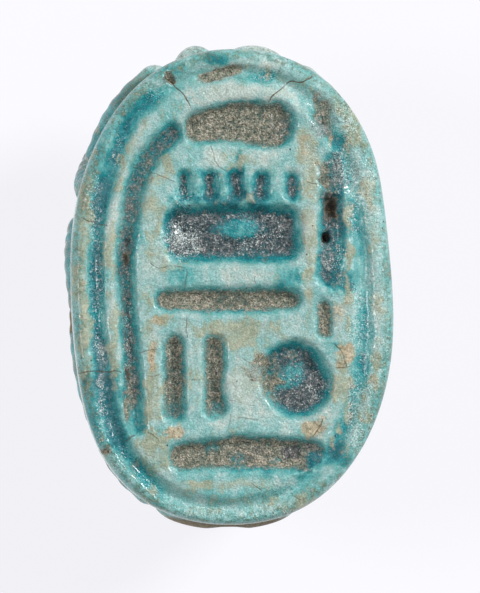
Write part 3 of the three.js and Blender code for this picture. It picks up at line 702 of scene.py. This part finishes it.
def mesh_object(name, places, quads, triangles, attributes):
    """A mesh object from arrays, in metres, shaded smooth, with its float attributes."""
    mesh = bpy.data.meshes.new(name)
    corners = np.concatenate([quads.ravel(), triangles.ravel()]).astype(np.int32)
    sizes = np.concatenate([np.full(len(quads), 4), np.full(len(triangles), 3)])
    starts = np.concatenate([[0], np.cumsum(sizes)[:-1]]).astype(np.int32)
    mesh.vertices.add(len(places))
    mesh.vertices.foreach_set("co", (places * MM).astype(np.float32).ravel())
    mesh.loops.add(len(corners))
    mesh.loops.foreach_set("vertex_index", corners)
    mesh.polygons.add(len(sizes))
    mesh.polygons.foreach_set("loop_start", starts)
    mesh.update(calc_edges=True)
    mesh.validate()
    mesh.shade_smooth()
    for key, values in attributes.items():
        layer = mesh.attributes.new(key, "FLOAT", "POINT")
        layer.data.foreach_set("value", values.astype(np.float32))
    made = bpy.data.objects.new(name, mesh)
    bpy.context.scene.collection.objects.link(made)
    return made


def pierced(body):
    """The string hole: a round bar along y, wider towards both ends, taken out of the body."""
    turns = np.linspace(0, 2 * np.pi, HOLE_SIDES, endpoint=False)
    reach = HALF_LENGTH + 1
    stations = ((-reach, HOLE_FLARE), (-HALF_LENGTH + 0.5, 1), (0, 1), (HALF_LENGTH - 0.9, 1),
                (reach, HOLE_FLARE))
    rows = [np.column_stack([HOLE_RADIUS * grow * np.cos(turns), np.full(HOLE_SIDES, y),
                             HOLE_HEIGHT + HOLE_RADIUS * grow * np.sin(turns)]) for y, grow in stations]
    ends = [[[0, -reach, HOLE_HEIGHT]], [[0, reach, HOLE_HEIGHT]]]
    places = np.vstack(rows + ends)
    count = len(stations) * HOLE_SIDES
    index = np.arange(count).reshape(len(stations), HOLE_SIDES)
    quads = np.vstack([ring_faces(a, b) for a, b in zip(index, index[1:])])
    first, last = index[0], index[-1]
    triangles = np.vstack([
        np.column_stack([first, np.roll(first, -1), np.full(HOLE_SIDES, count)]),
        np.column_stack([np.roll(last, -1), last, np.full(HOLE_SIDES, count + 1)])])
    bar = mesh_object("string_hole_bar", places, quads, triangles, {"bare": np.ones(len(places))})
    cut = body.modifiers.new("string_hole", "BOOLEAN")
    cut.operation = "DIFFERENCE"
    cut.solver = "EXACT"
    cut.object = bar
    graph = bpy.context.evaluated_depsgraph_get()
    whole = bpy.data.meshes.new_from_object(body.evaluated_get(graph), depsgraph=graph)
    body.modifiers.clear()
    body.data = whole
    bpy.data.objects.remove(bar)


def make_scarab():
    """The amulet: its skin with the carving pressed into the base face, its finishes and a painted
    shade on the flank as float attributes, and the string hole taken out."""
    places, quads, triangles, base_count = body_mesh()
    even_x, y, z = places.T
    x = uneven(even_x, y)
    on_base = np.arange(len(x)) < base_count
    depth, share_cut, border, brown, black = carving(x, y, even_x)
    inside = -oval_gap(even_x, y, HALF_WIDTH, HALF_LENGTH)
    level = smooth(RIM_ROUND + 0.5, 0, inside)
    swell = 0.035 * noise(x, y, 0, 1.3, 31) + 0.018 * noise(x, y, 0, 0.45, 32)
    z = z - on_base * (depth - swell * (1 - level) + 0.04)
    recess = np.clip(-oval_gap(even_x, y, HALF_WIDTH - 0.1, HALF_LENGTH - 0.1), 0, 1)
    below = smooth(6.2, 5.6, z)
    lines = back_lines(even_x, y) / 0.15 * smooth(3.4, 2.8, z)
    sandy = np.clip(patches(x, y, "sandy"), 0, 1)
    crack, beside = crack_lines(x, y)
    seen = np.where(on_base, 1.0, 0.0)
    bare = smooth(0.35, 0.9, noise(x, y, z, 1.6, 41) + 0.6 * noise(x, y, z, 0.6, 42)) * below
    bare = np.maximum(bare, smooth(-7.6, -8.1, y) * smooth(5.9, 5.5, z) * (np.abs(x) < 2.2))
    attributes = {
        "cut": np.where(on_base, share_cut, np.maximum(lines, recess * smooth(3.4, 3.7, z) * below)),
        "border": border * seen,
        "brown": np.maximum(brown, sandy) * seen,
        "black": black * (1 - sandy) * seen,
        "worn": np.where(on_base, patches(x, y, "worn"), bare * 0.6),
        # Off the base face this is painted shade: the flank below the plate made a deeper teal, fading out
        # towards head and tail.
        "thick": np.where(on_base, patches(x, y, "thick"), 0.3 * below * smooth(7.4, 6.4, np.abs(y))),
        "pale": np.where(on_base, patches(x, y, "pale"), smooth(7.2, 7.7, y)),
        "rim": np.where(on_base, smooth(0.55, 0.1, inside), 1.0),
        "bare": bare,
        "crack": crack,
        "cracked": beside * seen,
    }
    for finish in ("tan", "crust", "frost", "dull", "pit"):
        attributes[finish] = patches(x, y, finish) * seen
    body = mesh_object("scarab_body", np.column_stack([x, y, z]), quads, triangles, attributes)
    pierced(body)
    return body


# ======== shader expressions
class Wire:
    """A socket's value. Adding, taking away and multiplying it add Math nodes."""

    def __init__(self, shader, socket):
        self.shader = shader
        self.socket = socket

    def math(self, operation, *values):
        return self.shader.node("ShaderNodeMath", {"operation": operation}, *values)

    def __add__(self, other):
        return self.math("ADD", self, other)

    def __sub__(self, other):
        return self.math("SUBTRACT", self, other)

    def __mul__(self, other):
        return self.math("MULTIPLY", self, other)

    def __rsub__(self, other):
        return self.math("SUBTRACT", other, self)

    __radd__ = __add__
    __rmul__ = __mul__

    def abs(self):
        return self.math("ABSOLUTE", self)

    def most(self, other):
        return self.math("MAXIMUM", self, other)


class Shader:
    """One material's node tree, with a method that adds any node."""

    def __init__(self, name):
        self.material = bpy.data.materials.new(name)
        self.material.use_nodes = True
        self.tree = self.material.node_tree
        self.tree.nodes.clear()

    def node(self, kind, settings=None, *values, output=0, **named):
        """A node of this kind: its settings first, then its inputs by place or by name."""
        made = self.tree.nodes.new(kind)
        for key, value in (settings or {}).items():
            if key == "stops":
                self.set_stops(made.color_ramp, value)
            else:
                setattr(made, key, value)
        for key, value in [*enumerate(values), *named.items()]:
            self.feed(made.inputs[key.replace("_", " ") if isinstance(key, str) else key], value)
        return Wire(self, made.outputs[output]) if made.outputs else None

    def feed(self, socket, value):
        """Links a wire to a socket, or sets the socket to a plain value."""
        if isinstance(value, Wire):
            self.tree.links.new(value.socket, socket)
        else:
            socket.default_value = value

    def set_stops(self, ramp, stops):
        """Gives a ramp its (place, colour) stops."""
        while len(ramp.elements) < len(stops):
            ramp.elements.new(0.5)
        for element, (place, colour) in zip(ramp.elements, stops):
            element.position = place
            element.color = colour

    def attribute(self, name):
        """A float attribute of the mesh."""
        return self.node("ShaderNodeAttribute", {"attribute_name": name}, output="Fac")

    def place(self):
        """The place on the piece, in millimetres."""
        point = self.node("ShaderNodeTexCoord", output="Object")
        return self.node("ShaderNodeVectorMath", {"operation": "SCALE"}, point, Scale=1 / MM)

    def noise(self, point, per_mm, detail=3, rough=0.5, warp=0.0):
        """Smooth noise from 0 to 1, with so many cells to a millimetre."""
        return self.node("ShaderNodeTexNoise", None, Vector=point, Scale=per_mm, Detail=detail,
                         Roughness=rough, Distortion=warp, output="Fac")

    def ramp(self, value, stops):
        """A colour read off a row of (place, colour) stops."""
        return self.node("ShaderNodeValToRGB", {"stops": stops}, Fac=value, output="Color")

    def spots(self, point, per_mm):
        """Distance to the nearest of scattered points, in cells."""
        return self.node("ShaderNodeTexVoronoi", {"feature": "F1"}, Vector=point, Scale=per_mm,
                         output="Distance")

    def step(self, value, low, high):
        """Rises from 0 at low to 1 at high with level ends."""
        return self.node("ShaderNodeMapRange", {"interpolation_type": "SMOOTHSTEP"},
                         Value=value, From_Min=low, From_Max=high)

    def lying(self, name, ragged, low, high):
        """How thickly a finish lies: its attribute with ragged edges, and nothing away from it."""
        share = self.attribute(name)
        return self.step(share + ragged * self.step(share, 0.0, 0.25), low, high)

    def mix(self, share, first, second):
        """From the first colour to the second."""
        made = self.tree.nodes.new("ShaderNodeMix")
        made.data_type = "RGBA"
        for place, value in ((0, share), (6, first), (7, second)):
            self.feed(made.inputs[place], value)
        return Wire(self, made.outputs[2])

    def finish(self, **inputs):
        """The finished material, its surface a Principled shader with these inputs."""
        surface = self.node("ShaderNodeBsdfPrincipled", None, **inputs)
        self.node("ShaderNodeOutputMaterial", None, Surface=surface)
        return self.material


def colour(red, green, blue):
    """A colour given in display values from 0 to 255, as the linear values a shader takes."""
    parts = [c / 255 for c in (red, green, blue)]
    return [p / 12.92 if p <= 0.04045 else ((p + 0.055) / 1.055) ** 2.4 for p in parts] + [1.0]


def tones(*stops):
    """Stops of a ramp from rows of place, red, green and blue."""
    return [(place, colour(*parts)) for place, *parts in stops]


# What each finish runs through: the glaze as it thickens, the others as their noise rises.
GLAZE_DEPTHS = tones((0.0, 196, 214, 206), (0.2, 160, 204, 201), (0.4, 104, 184, 182),
                     (0.6, 30, 150, 156), (0.85, 0, 112, 122))
CREAM_TONES = tones((0.38, 132, 152, 122), (0.52, 184, 188, 160), (0.66, 216, 208, 178))
SAND_TONES = tones((0.38, 88, 94, 78), (0.5, 138, 134, 114), (0.62, 190, 174, 152))
SOOT_TONES = tones((0.4, 20, 35, 41), (0.52, 80, 83, 86), (0.64, 140, 132, 128))
CRUST_AND_HIGHLIGHT_TONES = tones((0.38, 92, 116, 114), (0.48, 136, 150, 148), (0.6, 178, 186, 184))
TAN_TONES = tones((0.36, 128, 112, 80), (0.5, 198, 176, 140), (0.64, 226, 208, 176))
PIT_TONES = tones((0.35, 24, 20, 14), (0.52, 58, 46, 28), (0.66, 112, 94, 62))
# The white of the painted glints.
PAINTED_GLINT_COLOUR = colour(226, 238, 234)
OLIVE_DIRT = colour(92, 112, 84)
CRACK_BROWN = colour(92, 76, 50)
PIN_DARK = colour(40, 44, 40)
BARE_STONE = colour(150, 132, 102)
BARE_DARK = colour(108, 92, 64)
STREAK_STRETCH = (1.0, 0.22, 1.0)  # what draws the brush streaks out along y


def glaze_material():
    """Worn turquoise glaze: milky, pale and cream where it is thin on the ridges, tan where it has
    gone, and deep teal where it has pooled in the cuts; the flank below the plate is deepened to
    the same teal as painted shade. Sandy brown or black grains and a grey crust lie on their
    floors, the crust lightened into a painted highlight at the broad bar's left end and by the
    disc, and white sparkles that are painted glints, thin cracks, pins and dark pits lie over all."""
    s = Shader("turquoise_glaze")
    place = s.place()
    rim = s.attribute("rim")
    frost = s.attribute("frost")
    milky = s.attribute("pale")
    low = s.attribute("cut").most(s.attribute("border") * 0.85)
    broad = s.noise(place, 0.75, 3, 0.55)
    mottle = s.noise(place, 1.7, 6, 0.66, 0.4)
    fine = s.noise(place, 6.0, 4, 0.66)
    grain = s.noise(place, 11.0, 2, 0.7)
    speck = s.noise(place, 19.0, 1, 0.5)
    drawn_out = s.node("ShaderNodeVectorMath", {"operation": "MULTIPLY"}, place, STREAK_STRETCH)
    streak = s.noise(drawn_out, 5.0, 3)
    # Painted glints: tiny white specks that stand for light sparkling off the glaze and its grains.
    painted_glints = s.step(s.spots(place, 17.0), 0.55, 0.16) * s.step(speck * 0.6 + grain * 0.4, 0.42, 0.58)

    # The glaze's teal deepens with its thickness; on the flank, the added thickness is painted shade.
    thickness = (low * (broad * 0.6 + 0.35) + s.attribute("thick") + rim * 0.16
                 + (mottle - 0.5) * 1.0 + (broad - 0.5) * 0.6 + (streak - 0.5) * 0.35 - milky * 0.3 + 0.22)
    glaze = s.ramp(thickness + (fine - 0.5) * (frost * 0.6 + 0.25), GLAZE_DEPTHS)
    wear = (s.attribute("worn") * 0.36 + rim * 0.04 + (mottle - 0.5) * 1.1 + (streak - 0.5) * 0.6
            + (fine - 0.5) * (frost * 0.6 + 0.35) - low * 0.3 - milky * 0.2)
    worn = s.step(wear, 0.0, 0.4)
    glaze = s.mix(worn * 0.85, glaze, s.ramp(mottle * 0.6 + fine * 0.4, CREAM_TONES))
    ragged = (grain - 0.5) * 0.3 + (fine - 0.5) * 0.9 + (mottle - 0.5) * 0.8
    tan = s.lying("tan", ragged, 0.2, 1.0)
    glaze = s.mix(tan * 0.85, glaze, s.ramp(fine * 0.6 + grain * 0.4, TAN_TONES))
    dirt = s.step(fine * 0.7 + broad * 0.3, 0.44, 0.62) * s.step(worn * 0.48 + rim, 0.1, 0.8)
    glaze = s.mix(dirt * 0.7, glaze, OLIVE_DIRT)

    brown = s.lying("brown", ragged, 0.15, 0.9)
    black = s.lying("black", ragged, 0.15, 0.95)
    # The pale crust, which in places is a painted highlight.
    crust = s.lying("crust", ragged, 0.2, 0.9)
    surface = s.mix(brown * 0.92, glaze, s.ramp(fine * 0.7 + mottle * 0.3, SAND_TONES))
    surface = s.mix(black * 0.88, surface, s.ramp(fine * 0.7 + mottle * 0.3, SOOT_TONES))
    surface = s.mix(crust * 0.7, surface, s.ramp(fine * 0.6 + mottle * 0.4, CRUST_AND_HIGHLIGHT_TONES))
    loose = brown.most(black).most(crust)
    grit = ((grain - 0.5) * (loose * 0.6 + frost * 0.6 + 0.4)
            + (speck - 0.5) * (loose * 2.0 + frost * 0.9 + 1.05) + 0.98)
    surface = s.node("ShaderNodeVectorMath", {"operation": "SCALE"}, surface, Scale=grit)
    painted_glint_share = (loose * 0.25 + low * 0.45 + rim * 0.2 + 0.08) * s.step(fine * 0.7 + mottle * 0.3, 0.42, 0.6)
    painted_glint_share = painted_glint_share + s.step(frost + ragged * 0.7, 0.1, 0.8)
    surface = s.mix(painted_glints * painted_glint_share, surface, PAINTED_GLINT_COLOUR)

    apart = s.attribute("crack").abs() + (fine - 0.5) * 0.04
    line = s.step(apart, 0.032, 0.006) * s.attribute("cracked") * s.step(broad + fine, 0.7, 0.95)
    surface = s.mix(line * 0.9, surface, CRACK_BROWN)
    pins = s.step(s.spots(place, 1.5), 0.06, 0.03)
    surface = s.mix(pins * 0.8, surface, PIN_DARK)
    pit = s.lying("pit", ragged, 0.2, 0.8)
    surface = s.mix(pit * 0.9, surface, s.ramp(fine, PIT_TONES))
    bare = s.lying("bare", ragged, 0.2, 0.8)
    stone = s.mix(s.step(fine + grain, 0.8, 1.2), BARE_DARK, BARE_STONE)
    surface = s.mix(bare * 0.9, surface, stone)

    grainy = brown.most(bare).most(s.attribute("dull") * 0.8)
    relief = (mottle * 0.05 + fine * 0.045 + grain * (low * 0.03 + 0.02) + speck * (low * 0.012 + 0.01)
              - line * 0.02 - pins * 0.03 + grainy * (grain * 0.04 + speck * 0.02))
    bump = s.node("ShaderNodeBump", None, Strength=1.0, Distance=MM, Height=relief, output="Normal")
    return s.finish(
        Base_Color=surface,
        Roughness=grainy * 0.4 + worn * 0.15 + fine * 0.2 + 0.06,
        IOR=1.55,
        Coat_Weight=(1 - grainy) * s.step(fine * 0.5 + grain * 0.5, 0.45, 0.6) * 0.8,
        Coat_Roughness=0.08,
        Normal=bump,
    )


GLOW = colour(251, 250, 255)
GLOW_STRENGTH = 0.845


def floor_material():
    """A pale floor lit partly from below, as a light table is, so that shadows on it stay faint."""
    s = Shader("pale_floor")
    place = s.place()
    tone = s.noise(place, 0.02, 2)
    pale = s.mix(tone, colour(107, 106, 108), colour(109, 108, 111))
    return s.finish(Base_Color=pale, Roughness=0.9, Emission_Color=GLOW, Emission_Strength=GLOW_STRENGTH)


# ======== the scene
FLOOR_REACH = 1500
WORLD_COLOUR = (0.985, 0.98, 1.0, 1.0)
WORLD_STRENGTH = 0.2


def make_floor():
    """A level square of floor under the amulet."""
    steps = np.linspace(-FLOOR_REACH, FLOOR_REACH, 9)
    x, y = np.meshgrid(steps, steps)
    places = np.column_stack([x.ravel(), y.ravel(), np.zeros(x.size)])
    quads = grid_faces(np.arange(x.size).reshape(x.shape))
    floor = mesh_object("floor", places, quads, np.zeros((0, 3), int), {})
    floor.data.materials.append(floor_material())


def soft_light(name, place, size, power, target):
    """A square lamp at a place, turned to the target, all in metres."""
    data = bpy.data.lights.new(name, "AREA")
    data.size = size
    data.energy = power
    lamp = bpy.data.objects.new(name, data)
    lamp.location = place
    lamp.rotation_euler = (Vector(target) - Vector(place)).to_track_quat("-Z", "Y").to_euler()
    bpy.context.scene.collection.objects.link(lamp)


def make_lights(target):
    """A strong soft lamp at the upper right, a weak one on the left, and a dim even world."""
    soft_light("right_box", (0.33, 0.20, 0.30), size=0.13, power=2.0, target=target)
    soft_light("left_box", (-0.28, 0.02, 0.24), size=0.12, power=0.5, target=target)
    world = bpy.data.worlds.new("studio")
    world.use_nodes = True
    back = world.node_tree.nodes["Background"]
    back.inputs["Color"].default_value = WORLD_COLOUR
    back.inputs["Strength"].default_value = WORLD_STRENGTH
    bpy.context.scene.world = world


VIEW_HEIGHT = 20.16 * MM  # how much of the base face's plane the view's height spans
CAMERA_DISTANCE = 0.3
CAMERA_TILT = math.radians(4.2)  # towards the left flank
CAMERA_NOD = math.radians(1)  # towards the tail
AIM = (0.24, -0.34)  # the point of the base face that the camera looks at


def make_camera():
    """A long lens nearly straight above the base face, with the head at the top of the view."""
    data = bpy.data.cameras.new("camera")
    data.sensor_width = 36
    data.lens = data.sensor_width * CAMERA_DISTANCE / VIEW_HEIGHT
    data.clip_start = 0.01
    data.clip_end = 10
    camera = bpy.data.objects.new("camera", data)
    target = Vector((AIM[0] * MM, AIM[1] * MM, HEIGHT * MM))
    way = Vector((-math.sin(CAMERA_TILT), -math.sin(CAMERA_NOD), 1)).normalized()
    camera.location = target + way * CAMERA_DISTANCE
    right = Vector((0, 1, 0)).cross(way).normalized()
    up = way.cross(right)
    camera.rotation_euler = Matrix((right, up, way)).transposed().to_euler()
    scene = bpy.context.scene
    scene.collection.objects.link(camera)
    scene.camera = camera
    scene.view_settings.view_transform = "Standard"


make_camera()
make_lights((0, 0, HEIGHT * MM / 2))
make_floor()
scarab = make_scarab()
scarab.data.materials.clear()
scarab.data.materials.append(glaze_material())
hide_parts("scarab")
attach(scarab, "root")
